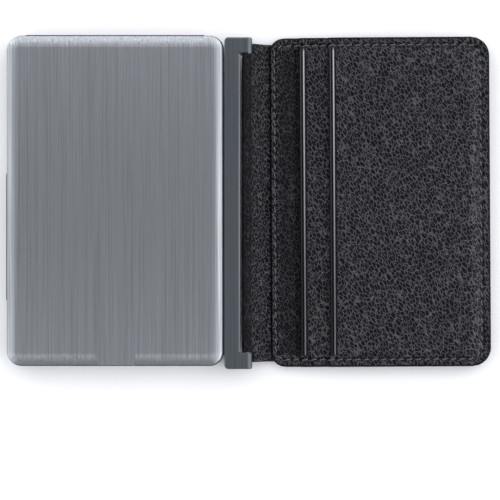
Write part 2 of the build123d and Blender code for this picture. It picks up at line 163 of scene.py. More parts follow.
def rounded_rectangle(box, corners):
    """The outline as points, anticlockwise from the lower left: four arcs, joined by the straight sides."""
    left, right, bottom, top = box
    arcs = []
    places = [(left, bottom, 0), (right, bottom, 1), (right, top, 1), (left, top, 0)]
    for quarter, (x, y, side) in enumerate(places):
        radius = corners[side]
        centre_x = x + radius * (1 if side == 0 else -1)
        centre_y = y + radius * (1 if quarter < 2 else -1)
        angle = pi + quarter * pi / 2 + np.linspace(0, pi / 2, arc_steps)
        arcs.append(np.stack([centre_x + radius * np.cos(angle), centre_y + radius * np.sin(angle)], axis=1))
    return np.vstack(arcs)


def walk(outline, pitch):
    """Places and directions at equal steps round a closed outline, by its running length."""
    closed = np.vstack([outline, outline[:1]])
    run = np.concatenate([[0], np.cumsum(np.hypot(*np.diff(closed, axis=0).T))])
    count = int(round(run[-1] / pitch))
    stops = np.arange(count) * run[-1] / count
    here = np.stack([np.interp(stops, run, closed[:, axis]) for axis in (0, 1)], axis=1)
    reach = pitch * 0.1
    ahead = np.stack([np.interp((stops + reach) % run[-1], run, closed[:, axis]) for axis in (0, 1)], axis=1)
    step = ahead - here
    return here, step / np.hypot(*step.T)[:, None]


stitch_at, stitch_way = walk(rounded_rectangle(stitch_box, stitch_corners), stitch_pitch)
print(len(stitch_at), "stitches round the cover")

# %% [markdown]
# ## Milled grain
# Milled leather shrinks into small cells, longer along the hide's own direction, with raised borders that
# catch the light and a dark dimple in each.  A cell pattern does this: scatter one point in each square of a
# lattice, and measure each place's distance to the nearest point and to the second nearest.  Where they are
# equal lies a border.  The lattice is stretched, turned and bent first.

# %% Grain as a height
grain_turn = radians(-60)
grain_cell = 1.2 * mm
grain_stretch = 1.75
lattice = 256


def cells(x, y, size, seed):
    """Distances to the nearest and the second nearest scattered point, in units of the cell's size."""
    along = (x * cos(grain_turn) + y * sin(grain_turn)) / (size * grain_stretch)
    across = (-x * sin(grain_turn) + y * cos(grain_turn)) / size
    across = across + 0.4 * np.sin(along * 1.1 + 2.0 * np.sin(across * 0.31)) + 0.2 * np.sin(along * 2.7)
    scatter = np.random.default_rng(seed).random((lattice, lattice, 2))
    cell_a = np.floor(along).astype(int)
    cell_b = np.floor(across).astype(int)
    first = np.full(along.shape, 9.0)
    second = np.full(along.shape, 9.0)
    for step_a in (-1, 0, 1):
        for step_b in (-1, 0, 1):
            point = scatter[(cell_a + step_a) % lattice, (cell_b + step_b) % lattice]
            away_a = cell_a + step_a + point[..., 0] - along
            away_b = cell_b + step_b + point[..., 1] - across
            away = np.hypot(away_a, away_b)
            second = np.minimum(second, np.maximum(first, away))
            first = np.minimum(first, away)
    return first, second


def grain(x, y, seed):
    """Height from 0 in a dimple to 1 on a border: large cells, plus smaller ones; each sheet has its seed."""
    height = 0
    for size, share in ((grain_cell, 0.7), (grain_cell * 0.55, 0.3)):
        first, second = cells(x, y, size, seed)
        border = 1 - rise(second - first, 0.0, 0.3)
        height = height + share * (0.55 * border + 0.45 * rise(first, 0.1, 0.6))
    return height


# %% [markdown]
# ## Sheets of leather
# A sheet could be a box with a displacement on it, but its edge would stay square and its grain would be
# only shading.  Here each sheet is one grid of points over its outline, with its height worked out by a
# formula: pressed down along the seam, folded at a pocket's mouth, and grained.  The grid's rim is carried
# down to the underside, whose rings step up inside the seam, so that a pocket is open at its mouth.

# %% A closed sheet from a grid
def spaced(low, high, step):
    """Evenly spaced places from low to high, about `step` apart."""
    return np.linspace(low, high, max(2, int(round((high - low) / step)) + 1))


def outline_reach(y):
    """How far left and right the cover's outline reaches at each y, its rounded corners included."""
    reach = []
    for corner, side in ((spine_corner, -1), (free_corner, 1)):
        into = np.maximum(np.abs(y) - (half_length - corner), 0)
        reach.append(side * (half_width - corner + np.sqrt(np.maximum(corner ** 2 - into ** 2, 0))))
    return reach


def new_mesh(name, points, faces):
    """A mesh object from points and faces: smooth shaded, at the origin."""
    mesh = bpy.data.meshes.new(name)
    mesh.from_pydata(np.asarray(points).tolist(), [], faces)
    mesh.polygons.foreach_set("use_smooth", np.ones(len(mesh.polygons), bool))
    mesh.update()
    piece = bpy.data.objects.new(name, mesh)
    bpy.context.scene.collection.objects.link(piece)
    return piece


def grid_faces(rows, columns):
    """Quads between neighbouring points of a grid stored row by row, facing up for x right and y up."""
    start = (np.arange(rows - 1)[:, None] * columns + np.arange(columns - 1)[None, :]).ravel()
    return np.stack([start, start + 1, start + columns + 1, start + columns], axis=1)


def rim_of(rows, columns):
    """The grid's outer ring of points, anticlockwise seen from above."""
    bottom = np.arange(columns)
    right = np.arange(1, rows) * columns + columns - 1
    top = (rows - 1) * columns + np.arange(columns - 2, -1, -1)
    left = np.arange(rows - 2, 0, -1) * columns
    return np.concatenate([bottom, right, top, left])


def mark(piece, name, values):
    """Keep a value on each point of the mesh, for the material to read; 0 on points past the last."""
    attribute = piece.data.attributes.new(name, "FLOAT", "POINT")
    filled = np.zeros(len(piece.data.vertices), np.float32)
    filled[:len(values)] = values
    attribute.data.foreach_set("value", filled)


def leather_sheet(name, left, columns_x, step_y, height, rings, facing=1):
    """One sheet over the cover's outline, cut off straight at `left`.

    columns_x are the grid's columns on the full width; in each row they are squeezed to the outline's own
    reach, x = low + (high - low) * share.  height(x, y) gives the worked face's height, its grain's strength
    and its wear and painted highlight.  rings lists the underside's rings from the rim inwards, each as its inset
    and a function for its height.  With facing -1 the sheet faces down.
    """
    y = spaced(-half_length, half_length, step_y)
    low, high = outline_reach(y)
    low = np.maximum(low, left)
    share = (columns_x - columns_x[0]) / (columns_x[-1] - columns_x[0])
    x = low[:, None] + (high - low)[:, None] * share[None, :]
    y = np.repeat(y[:, None], x.shape[1], axis=1)
    z, grained, wear_and_painted_highlight = height(x, y)
    layers = [np.stack([x, y, z], axis=2).reshape(-1, 3)]
    count = len(layers[0])
    rim = rim_of(*x.shape)
    ring_x, ring_y = layers[0][rim, 0], layers[0][rim, 1]
    middle_x, reach_x = (left + half_width) / 2, (half_width - left) / 2
    quads = [grid_faces(*x.shape)]
    upper = rim
    for inset, ring_height in rings:
        in_x = middle_x + (ring_x - middle_x) * (1 - inset / reach_x)
        in_y = ring_y * (1 - inset / half_length)
        layers.append(np.stack([in_x, in_y, ring_height(in_x, in_y) + 0 * in_x], axis=1))
        lower = count + np.arange(len(rim))
        count += len(rim)
        quads.append(np.stack([upper, lower, np.roll(lower, -1), np.roll(upper, -1)], axis=1))
        upper = lower
    faces = np.vstack(quads)
    closing = upper[::-1]
    if facing < 0:
        faces, closing = faces[:, ::-1], closing[::-1]
    piece = new_mesh(name, lay(np.vstack(layers)), faces.tolist() + [closing.tolist()])
    mark(piece, "grain", grained.ravel())
    mark(piece, "wear_and_painted_highlight", wear_and_painted_highlight.ravel())
    print(name, len(piece.data.polygons), "faces")
    return piece


# %% [markdown]
# ## How the seam, the needle holes and the mouths press the leather
# The thread pulls the layers together, so each sheet dips along the stitch line and rises again inside it,
# and each hole is a small pit beside its thread.  A pocket's mouth is a turned edge: a thin lip, a creased
# line, then a crown where the fold is thickest.

# %% Heights shared by the sheets
seam_dip = 0.28 * mm
hole_depth = 0.35 * mm
edge_round = 0.5 * mm
grain_depth = 0.07 * mm
fine = 0.28 * mm
hole_ahead = 0.42
hole_offset = np.array([0.42, 0.3]) * mm
hole_long = 0.55 * mm
hole_wide = 0.3 * mm
hole_reach = 1.6 * mm


def stitch_distance(x, y):
    """Distance from the stitch line, inside it or outside it."""
    return inside_distance(x, y, stitch_box, stitch_corners)


def hole_pits(x, y):
    """Depth of the needle holes from 0 to 1: an oval bell at each stitch's end, along the row."""
    depth = np.zeros(x.shape)
    near = np.abs(stitch_distance(x, y)) < hole_reach
    near_x, near_y = x[near][:, None], y[near][:, None]
    spots = stitch_at + stitch_way * stitch_pitch * hole_ahead + hole_offset
    away_x, away_y = near_x - spots[None, :, 0], near_y - spots[None, :, 1]
    along = away_x * stitch_way[None, :, 0] + away_y * stitch_way[None, :, 1]
    across = away_x * -stitch_way[None, :, 1] + away_y * stitch_way[None, :, 0]
    depth[near] = np.exp(-(along / hole_long) ** 2 - (across / hole_wide) ** 2).max(axis=1)
    return depth


def seam(x, y):
    """The dip along the stitch line, the needle holes, and the rounding of the cut edge."""
    dip = seam_dip * bell(stitch_distance(x, y), 0, 0.5 * mm)
    share = np.clip(edge_distance(x, y) / edge_round, 0, 1)
    edge = edge_round * (1 - np.sqrt(1 - (1 - share) ** 2))
    return -dip - edge - hole_depth * hole_pits(x, y)


def mouth_fold(inward):
    """A turned edge: a rounded lip 0.7 mm wide, a crease behind it and a crown behind that."""
    lip = 0.16 * mm * (1 - rise(inward, 0.7 * mm, 1.05 * mm))
    crease = 0.28 * mm * bell(inward, 0.84 * mm, 0.15 * mm)
    crown = 0.16 * mm * bell(inward, 1.35 * mm, 0.34 * mm)
    rounding = 0.3 * mm * (1 - rise(inward, 0, 0.3 * mm))
    return crown - lip - crease - rounding


def open_share(y):
    """0 at a mouth's two sewn ends and 1 where the mouth is free."""
    return rise(half_length - np.abs(y), 3.0 * mm, 4.6 * mm)


def grain_over_mouth(inward):
    """The grain is stretched nearly flat over the fold and comes back behind it."""
    return 0.1 + 0.9 * rise(inward, 1.6 * mm, 2.6 * mm)


def masked(height, share):
    """Grain that fades to its own mean where share is 0."""
    return 0.5 + (height - 0.5) * share


def mouth_columns(left, low_at, high_at):
    """Grid columns: close together over a mouth's fold, `fine` apart where seen, and wide where covered."""
    parts = [spaced(left, left + 2.4 * mm, 0.12 * mm), spaced(left + 2.4 * mm + fine, low_at, fine)]
    if high_at > low_at:
        parts.append(spaced(low_at + 1.5 * mm, high_at, 1.5 * mm))
    return np.concatenate(parts)


# %% [markdown]
# ## Base leather
# The sheet under the pockets.  It shows as a stitched margin along the spine, and as a smoother, lower strip
# beside the first pocket, painted darker as the pockets' shade.

# %% Base leather
strip_drop = 0.3 * mm
shadow_drop = 0.5 * mm


def base_height(x, y):
    """Margin at full height, a lower strip inside the stitching, and weaker grain on the strip, which also paints
    the strip darker as the pockets' shade; the needle holes are painted dark as shade.
    """
    strip = rise(stitch_distance(x, y), 0.3 * mm, 2.0 * mm)
    # Painted shade: the strip's grain strength drops by 0.35 and the needle holes' drops to 0, which darkens their
    # colour.
    share = (1 - 0.35 * strip) * rise(edge_distance(x, y), 0, 0.8 * mm) * (1 - hole_pits(x, y))
    swell = 0.1 * mm * bell(edge_distance(x, y), 0.8 * mm, 0.5 * mm)
    sunk = strip_drop * strip + shadow_drop * strip * rise(x + half_width - mouth_rear, -2.2 * mm, -0.6 * mm)
    pressed = grain_depth * masked(grain(x, y, 11), share)
    return base_high.z - grain_depth - sunk + pressed + swell + seam(x, y), share, 0 * x


def level(height):
    """A ring's height where it is the same all round."""
    return lambda x, y: height


base_columns = np.concatenate([spaced(-half_width, -half_width + mouth_rear + 2 * mm, fine),
                               spaced(-half_width + mouth_rear + 3 * mm, half_width, 1.5 * mm)])
base = leather_sheet("base_leather_sheet", -half_width, base_columns, fine, base_height,
                     [(0, level(base_low.z)), (3 * mm, level(base_low.z))])
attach(base, "cover")
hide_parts("base_leather")

# %% [markdown]
# ## Pockets
# Both pockets open towards the spine.  They are thin over the seam, where the thread presses them onto the
# sheet below, and stand up inside it.  The front one bulges a little, as if cards had stretched it.

# %% Pocket heights
rear_margin = base_high.z + 0.8 * mm
front_margin = rear_margin + 1.05 * mm
mark_box = (19.5 * mm, 26.8 * mm, -6.5 * mm, 7.1 * mm)
mark_corners = (1.6 * mm, 1.6 * mm)


def free_side_highlight(x, y):
    """1 on the swell just inside the free edge's stitches, where the grain is made stronger and painted lighter, a
    painted highlight of the light from +X; 0 elsewhere.
    """
    near = rise(x, stitch_box[1] - 4.5 * mm, stitch_box[1] - 0.5 * mm)
    return near * rise(stitch_distance(x, y), 0, 0.6 * mm)


def pocket_height(mouth, margin, body, bulge, seed):
    """Returns height(x, y): the pressed margin, the rise to the body, the bulge, the fold and the grain."""
    def height(x, y):
        """The face's height; the grain's strength, lowered in the holes for painted shade and raised on the free
        side for a painted highlight; and the painted highlight on the fold, at each place.
        """
        inside = edge_distance(x, y)
        inward = x + half_width - mouth
        sewn = rise(stitch_distance(x, y), 0, 3.0 * mm)
        open_part = open_share(y)
        fold = mouth_fold(inward) * (0.3 + 0.7 * open_part)
        share = (1 - (1 - grain_over_mouth(inward)) * open_part) * rise(inside, 0, 0.8 * mm)
        # Painted shade and highlight: taking the holes' grain away paints them dark, and raising the free side's
        # grain paints it lighter.
        share = share * (1 - hole_pits(x, y)) * (1 + 0.7 * free_side_highlight(x, y))
        pressed = grain_depth * masked(grain(x, y, seed), share)
        z = margin + (body - margin) * sewn + bulge(x, y) + fold + pressed + seam(x, y)
        return z, share, wear_and_painted_highlight(x, y)

    def wear_and_painted_highlight(x, y):
        """Painted highlight: lighter lines on the fold's crown and lip, brighter towards +Y as if lit from that
        side.
        """
        inward = x + half_width - mouth
        open_part = open_share(y)
        crown = bell(inward, 1.4 * mm, 0.18 * mm) + 0.1 * bell(inward, 0.45 * mm, 0.2 * mm)
        # Painted highlight: brighter towards +Y, the side the light falls from.
        upward = 0.35 + 0.65 * rise(y, -0.7 * half_length, 0.9 * half_length)
        return np.clip(crown * open_part * upward, 0, 1)
    return height


def pillow(x, y, low_x, high_x, top):
    """Highest in the middle: (1 - u^4)(1 - v^8), with u and v from -1 to 1 across and along the pocket."""
    u = np.clip(2 * (x - low_x) / (high_x - low_x) - 1, -1, 1)
    v = np.clip(y / (half_length - 2.5 * mm), -1, 1)
    return top * (1 - u ** 4) * (1 - v ** 8)


def rear_bulge(x, y):
    """The rear pocket lies nearly flat."""
    return pillow(x, y, -half_width - 20 * mm, half_width + 20 * mm, 0.08 * mm)


def front_bulge(x, y):
    """The front pocket's bulge, with a small plain pressed frame near its free edge."""
    swell = pillow(x, y, -half_width - 5 * mm, half_width - 2.9 * mm, 0.75 * mm)
    pressed = 0.16 * mm * bell(inside_distance(x, y, mark_box, mark_corners), 0, 0.42 * mm)
    return swell - pressed


rear_left = -half_width + mouth_rear
front_left = -half_width + mouth_front
rear_columns = mouth_columns(rear_left, front_left + 2 * mm, half_width)
front_columns = mouth_columns(front_left, half_width, half_width)


def lifted(low, high):
    """Underside of a pocket: down on the seam, up inside it."""
    return lambda x, y: low + (high - low) * rise(stitch_distance(x, y), 0.2 * mm, 2.5 * mm)


def pocket_rings(low, high):
    """Four rings, so that the step from the seam to the raised middle is smooth."""
    under = lifted(low, high)
    return [(0.02 * mm, under), (2.8 * mm, under), (4.2 * mm, under), (6 * mm, under)]


below_box = 0.2 * mm
air = 0.02 * mm
rear_height = pocket_height(mouth_rear, rear_margin, rear_high.z - below_box, rear_bulge, 23)
front_height = pocket_height(mouth_front, front_margin, front_high.z - below_box, front_bulge, 37)
rear = leather_sheet("rear_pocket_sheet", rear_left, rear_columns, fine, rear_height,
                     pocket_rings(base_high.z + air, rear_low.z + air))
front = leather_sheet("front_pocket_sheet", front_left, front_columns, fine, front_height,
                      pocket_rings(rear_margin + air, front_low.z + air))
for piece, node, left in ((rear, "rear_pocket", rear_left), (front, "front_pocket", front_left)):
    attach(piece, "cover")
    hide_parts(node)

# %% [markdown]
# ## Outer leather
# The outside of the cover, seen when the wallet is closed.  Its rim is turned up round the board on three
# sides; at the spine it stops short, where the hinge strap comes out between it and the base leather.

# %% Outer leather
outer_left = -half_width + outer_low.x - base_low.x
rim_thick = 1.3 * mm
rim_round = 0.9 * mm


def outer_height(x, y):
    """The outside, facing down: a rounded edge, the pressed stitch line and grain."""
    inside = edge_distance(x, y)
    grain_share = rise(inside, 0.4 * mm, 1.6 * mm)
    grained = masked(grain(x, y, 51), grain_share)
    share = np.clip(np.minimum(inside, x - outer_left) / rim_round, 0, 1)
    edge = rim_round * (1 - np.sqrt(1 - (1 - share) ** 2))
    dip = seam_dip * bell(stitch_distance(x, y), 0, 0.5 * mm) + hole_depth * hole_pits(x, y)
    z = outer_low.z + grain_depth * (1 - grained) + edge + dip
    return z, grain_share, 0.08 * (1 - grain_share)


def rim_top(x, y):
    """The turned-up rim's height: up to the base leather, but only the sheet's thickness at the spine."""
    return outer_high.z + (base_low.z - air - outer_high.z) * rise(x - outer_left, 2.5 * mm, 4 * mm)


outer_rings = [(0.0, rim_top), (rim_thick, rim_top), (rim_thick + 0.05 * mm, level(outer_high.z))]
outer = leather_sheet("outer_cover_sheet", outer_left, spaced(outer_left, half_width, fine), fine,
                      outer_height, outer_rings, facing=-1)
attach(outer, "cover")
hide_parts("outer_cover")

# %% [markdown]
# ## Hinge strap
# One band of leather, folded round the hinge pin and glued between the cover's layers.  Near the pin it is
# narrower, to pass between the rail's lugs.  It could be bent with a curve modifier, but its section is
# simple: a line that runs from the pin down to the cover and levels out there, with half the thickness each
# side and a round nose about the pin.

# %% Hinge strap
strap_low, strap_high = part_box("hinge_strap")
tail_low, tail_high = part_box("strap_tail")
pin_low, pin_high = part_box("hinge_pin")
pin_x = (pin_low.x + pin_high.x) / 2
pin_z = (pin_low.z + pin_high.z) / 2
crease = next(joint for joint in frame["joints"] if joint["name"] == "cover_crease")["pos_m"]
band = tail_high.z - tail_low.z
nose_radius = pin_x - strap_low.x
strap_slope = np.arctan2(pin_z - crease[2], crease[0] - pin_x)
tail_mid = (tail_low.z + tail_high.z) / 2
strap_run = (pin_z - tail_mid) / sin(strap_slope)
strap_length = strap_run + (tail_high.x - crease[0])
notch_at = 2.6 * mm
notch_blend = 0.12 * mm
neck_half = 46.85 * mm
notch_depth = (strap_high.y - strap_low.y) / 2 - neck_half
neck_grain = 0.6
strap_column = 0.0033
print("strap runs", round(strap_run / mm, 2), "mm down at", round(np.degrees(strap_slope), 1), "degrees")


def strap_line(along):
    """The band's middle line: the slope turns to level over 2 mm about the crease, summed up step by step."""
    dense = np.linspace(0, strap_length, 600)
    angle = -strap_slope * (1 - rise(dense, strap_run - 1.0 * mm, strap_run + 1.0 * mm))
    step = dense[1]
    x = pin_x + np.concatenate([[0], np.cumsum(np.cos(angle[:-1]) * step)])
    z = pin_z + np.concatenate([[0], np.cumsum(np.sin(angle[:-1]) * step)])
    return [np.interp(along, dense, values) for values in (x, z, angle)]


def strap_side(along, across, side):
    """One face of the band: the middle line moved by half the thickness, thinned at the pressed line."""
    x, z, angle = strap_line(along)
    thick = nose_radius + (band / 2 - nose_radius) * rise(along, 0, 2.2 * mm)
    seed = 71 if side > 0 else 72
    grain_share = neck_grain + (1 - neck_grain) * rise(along, 0.5 * mm, 1.2 * mm)
    grained = masked(grain(along + 0 * across, across, seed), grain_share)
    ends = np.minimum(across - strap_low.y, strap_high.y - across)
    soft = 0.25 * mm * (1 - np.sqrt(1 - (1 - np.clip(ends / (0.5 * mm), 0, 1)) ** 2))
    pressed = 0.35 * mm * bell(along, 0.4 * mm, 0.18 * mm) if side > 0 else 0
    out = thick - pressed - grain_depth * (1 - grained) - soft
    face = [x - np.sin(angle) * out * side, across, z + np.cos(angle) * out * side]
    return np.stack(face, axis=-1), grain_share


def strap_reach(along):
    """How far the band reaches along the hinge: full width, but drawn in near the pin to clear the lugs."""
    drawn_in = notch_depth * (1 - rise(along, notch_at - notch_blend, notch_at + notch_blend))
    return strap_low.y + drawn_in, strap_high.y - drawn_in


def make_strap():
    """Upper face from the tail to the pin, round nose, lower face back to the tail, as one grid.

    Its first and last rows meet across the tail's end, and strips of quads close the band's two sides.
    """
    bend_end = strap_run + 2 * mm
    notch = [notch_at - notch_blend, notch_at + notch_blend]
    runs = [spaced(0, bend_end, 0.25 * mm), notch, spaced(bend_end, strap_length, mm)]
    fine_run = np.unique(np.concatenate(runs))
    shares = spaced(0, 1, strap_column)
    rows, grains = [], []
    for side, run in ((1, fine_run[::-1]), (-1, fine_run)):
        low, high = strap_reach(run)
        across = low[:, None] + (high - low)[:, None] * shares[None, :]
        points, grained = strap_side(np.repeat(run[:, None], len(shares), axis=1), across, side)
        rows.append(points)
        grains.append(grained)
        if side > 0:
            angle = np.linspace(pi / 2 - strap_slope, 3 * pi / 2 - strap_slope, 13)[1:-1]
            across = np.repeat((low[-1] + (high[-1] - low[-1]) * shares)[None, :], len(angle), axis=0)
            nose = np.stack([pin_x + nose_radius * np.cos(angle)[:, None] + 0 * across, across,
                             pin_z + nose_radius * np.sin(angle)[:, None] + 0 * across], axis=-1)
            rows.append(nose)
            grains.append(np.full(across.shape, neck_grain))
    points = np.concatenate(rows)
    count, columns = points.shape[:2]
    faces = grid_faces(count, columns)
    first = np.arange(count // 2) * columns
    last = (count - 1 - np.arange(count // 2)) * columns
    end_a = np.stack([first[:-1], first[1:], last[1:], last[:-1]], axis=1)
    end_b = end_a[:, ::-1] + columns - 1
    tail = np.stack([np.arange(columns - 1), (count - 1) * columns + np.arange(columns - 1)], axis=1)
    tail = np.stack([tail[:, 0] + 1, tail[:, 0], tail[:, 1], tail[:, 1] + 1], axis=1)
    every_face = np.vstack([faces, end_a, end_b, tail]).tolist()
    strap = new_mesh("hinge_strap_band", points.reshape(-1, 3), every_face)
    mark(strap, "grain", np.concatenate(grains).ravel())
    return strap


strap = make_strap()
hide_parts("hinge_strap", "strap_tail")
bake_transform(strap)
print("strap", len(strap.data.polygons), "faces")

# %% [markdown]
# ## Thread
# Each stitch is a short length of round bonded thread that comes out of one hole and goes into the next, a
# little slanted, because the two threads of a saddle stitch cross inside the leather.  A few dozen faces
# each are enough: a tube whose radius closes at both ends and whose middle stands above the leather.

# %% Stitches
thread_radius = 0.24 * mm
stitch_half = 0.98 * mm
stitch_slant = radians(14)
tube_sides = 8
tube_steps = np.array([-1.0, -0.93, -0.7, -0.3, 0.3, 0.7, 0.93, 1.0])


def inner_surface(x, y):
    """Height of whichever sheet is on top: the base, the rear pocket or the front pocket."""
    from_spine = x + half_width
    base_z = base_height(x, y)[0]
    rear_z = rear_height(x, y)[0]
    front_z = front_height(x, y)[0]
    return np.where(from_spine < mouth_rear, base_z, np.where(from_spine < mouth_front, rear_z, front_z))


def make_stitches(name, surface, up):
    """All stitches at once: along each, circles of points whose radius and height follow the step."""
    angle = stitch_slant * up
    way_x = stitch_way[:, 0] * cos(angle) - stitch_way[:, 1] * sin(angle)
    way_y = stitch_way[:, 0] * sin(angle) + stitch_way[:, 1] * cos(angle)
    ground = surface(stitch_at[:, 0], stitch_at[:, 1])
    radius = thread_radius * np.sqrt(np.maximum(1 - tube_steps ** 6, 0.02))
    hump = 0.16 * mm - 0.3 * mm * tube_steps ** 4
    turn = np.linspace(0, 2 * pi, tube_sides, endpoint=False)
    side = radius[:, None] * np.cos(turn)[None, :]
    lift = hump[:, None] + radius[:, None] * np.sin(turn)[None, :]
    run = stitch_half * tube_steps[:, None] + 0 * side
    x = stitch_at[:, 0, None, None] + way_x[:, None, None] * run + way_y[:, None, None] * side
    y = stitch_at[:, 1, None, None] + way_y[:, None, None] * run - way_x[:, None, None] * side
    z = ground[:, None, None] + up * lift
    points = np.stack([x, y, z + 0 * x], axis=-1).reshape(-1, 3)
    ring = np.arange(tube_sides)
    tube = []
    for step in range(len(tube_steps) - 1):
        low, high = step * tube_sides, (step + 1) * tube_sides
        quads = [low + ring, low + np.roll(ring, -1), high + np.roll(ring, -1), high + ring]
        tube += np.stack(quads, axis=1).tolist()
    caps = [ring[::-1].tolist(), (ring + (len(tube_steps) - 1) * tube_sides).tolist()]
    per_stitch = len(tube_steps) * tube_sides
    faces = [[corner + stitch * per_stitch for corner in (face if up > 0 else face[::-1])]
             for stitch in range(len(stitch_at)) for face in tube + caps]
    return new_mesh(name, lay(points), faces)


def outer_surface(x, y):
    """Height of the outside at the stitches: the bottom of its pressed line."""
    return outer_height(x, y)[0] + 0.1 * mm


inner_stitches = make_stitches("inner_saddle_stitches", inner_surface, 1)
outer_stitches = make_stitches("outer_saddle_stitches", outer_surface, -1)
for piece, node in ((inner_stitches, "inner_stitching"), (outer_stitches, "outer_stitching")):
    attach(piece, "cover")
    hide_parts(node)
    print(piece.name, len(piece.data.polygons), "faces")

# %% [markdown]
# ## Finishes
# Every finish starts from the Principled shader.  Patterns read object coordinates in metres, so their
# scales come straight from sizes in millimetres.

# %% Helpers for materials
def linear(hex_colour):
    """sRGB hex to the linear colour that shaders use."""
    channels = [int(hex_colour[i:i + 2], 16) / 255 for i in (1, 3, 5)]
    return [c / 12.92 if c <= 0.04045 else ((c + 0.055) / 1.055) ** 2.4 for c in channels] + [1.0]


def new_material(name, **sockets):
    """A node material; returns it, its tree and its shader, with the shader's own sockets set."""
    material = bpy.data.materials.new(name)
    material.use_nodes = True
    shader = material.node_tree.nodes["Principled BSDF"]
    for socket, value in sockets.items():
        shader.inputs[socket.replace("_", " ")].default_value = value
    return material, material.node_tree, shader


def add(tree, kind, settings=(), values=(), links=()):
    """Add one node: settings are its own properties, values its sockets' numbers, links (socket, source)."""
    node = tree.nodes.new(kind)
    for key, value in dict(settings).items():
        setattr(node, key, value)
    for key, value in dict(values).items():
        node.inputs[key].default_value = value
    for key, source in dict(links).items():
        tree.links.new(source, node.inputs[key])
    return node


def per_mm(size):
    """Noise cycles per metre for a feature `size` millimetres across."""
    return 1000.0 / size


def two_tones(tree, dark, light, share):
    """From the dark colour at share 0 to the light one at share 1."""
    colour = add(tree, "ShaderNodeMix", {"data_type": "RGBA"}, links={"Factor": share.outputs[0]})
    colour.inputs[6].default_value = linear(dark)
    colour.inputs[7].default_value = linear(light)
    return colour.outputs[2]


def bumped(tree, shader, height, strength, depth):
    """Tilt the shader's normal by a height pattern that is `depth` metres from its lowest to its highest."""
    bump = add(tree, "ShaderNodeBump", values={"Strength": strength, "Distance": depth},
               links={"Height": height.outputs[0]})
    tree.links.new(bump.outputs[0], shader.inputs["Normal"])


# %% [markdown]
# ### Brushed anodised aluminium
# The sheet is dragged along an abrasive belt before anodising, which leaves fine scratches along the cards.
# They spread the light across themselves, so the highlight is wide across the scratches and short along
# them: that is the shader's anisotropy, with its tangent across the brushing.  The scratches' own streaks
# come from noise stretched along Y, 0.17 mm and 0.37 mm apart on the case, as fine as shows at arm's length.

# %% Brushed metals
def brushed_metal(name, dark, light, roughness, fine_mm, contrast):
    """Metal with streaks along Y, in its colour, its roughness and a fine bump."""
    material, tree, shader = new_material(name, Metallic=1.0, Anisotropic=0.6)
    where = add(tree, "ShaderNodeTexCoord")
    heights = []
    for width, length, detail in ((fine_mm, 22.0, 5.0), (fine_mm * 2.2, 60.0, 1.0)):
        scale = (per_mm(width), per_mm(length), per_mm(width))
        streaks = add(tree, "ShaderNodeMapping", values={"Scale": scale},
                      links={"Vector": where.outputs["Object"]})
        heights.append(add(tree, "ShaderNodeTexNoise",
                           values={"Scale": 1.0, "Detail": detail, "Roughness": 0.65},
                           links={"Vector": streaks.outputs[0]}))
    both = add(tree, "ShaderNodeMath", {"operation": "ADD"},
               links={0: heights[0].outputs[0], 1: heights[1].outputs[0]})
    tint = add(tree, "ShaderNodeMapRange", values={1: 1 - contrast, 2: 1 + contrast, 3: 0.0, 4: 1.0},
               links={0: both.outputs[0]})
    tree.links.new(two_tones(tree, dark, light, tint), shader.inputs["Base Color"])
    rough = add(tree, "ShaderNodeMapRange", values={1: 0.7, 2: 1.3, 3: roughness + 0.05, 4: roughness - 0.05},
                links={0: both.outputs[0]})
    tree.links.new(rough.outputs[0], shader.inputs["Roughness"])
    across = add(tree, "ShaderNodeVectorTransform",
                 {"vector_type": "VECTOR", "convert_from": "OBJECT", "convert_to": "WORLD"},
                 values={"Vector": (1.0, 0.0, 0.0)})
    tree.links.new(across.outputs[0], shader.inputs["Tangent"])
    bumped(tree, shader, heights[0], 0.12, 0.02 * mm)
    return material


aluminium = brushed_metal("brushed_anodised_aluminium", "#7f8286", "#cfd3d7", 0.3, 0.17, 0.42)
gunmetal = brushed_metal("brushed_gunmetal_anodised_aluminium", "#53575b", "#73787d", 0.38, 0.2, 0.4)


# %% [markdown]
# ### Moulded nylon, drawn steel, cloth, board and foam
# Plain parts with one fine texture each: the spark-eroded texture of a mould, the draw marks of wire, the
# over-and-under of cloth, the fibres of board and the pores of foam.

# %% Finishes with one fine texture
def textured(name, dark, light, roughness, grain_mm, depth_mm, metallic=0.0, stretch=(1, 1, 1)):
    """A finish with one noise of the given grain, in its colour and its bump."""
    material, tree, shader = new_material(name, Metallic=metallic, Roughness=roughness)
    where = add(tree, "ShaderNodeTexCoord")
    scaled = add(tree, "ShaderNodeMapping", values={"Scale": [per_mm(grain_mm) / s for s in stretch]},
                 links={"Vector": where.outputs["Object"]})
    noise = add(tree, "ShaderNodeTexNoise", values={"Scale": 1.0, "Detail": 3.0},
                links={"Vector": scaled.outputs[0]})
    tree.links.new(two_tones(tree, dark, light, noise), shader.inputs["Base Color"])
    bumped(tree, shader, noise, 0.5, depth_mm * mm)
    return material


moulding = textured("moulded_black_nylon", "#1c1d20", "#2c2d31", 0.55, 0.12, 0.01)
steel = textured("drawn_spring_steel", "#8f9194", "#b4b6ba", 0.28, 0.1, 0.004, metallic=1.0,
                 stretch=(1, 20, 1))
cloth = textured("woven_lining_cloth", "#161618", "#2b2b2e", 0.85, 0.25, 0.05)
board = textured("pressed_fibre_board", "#5b5247", "#7a6f60", 0.9, 0.4, 0.03, stretch=(1, 4, 1))
foam = textured("closed_cell_foam", "#26272a", "#3a3b3f", 0.95, 0.3, 0.05)
thread = textured("bonded_polyester_thread", "#222125", "#626066", 0.22, 0.18, 0.02)
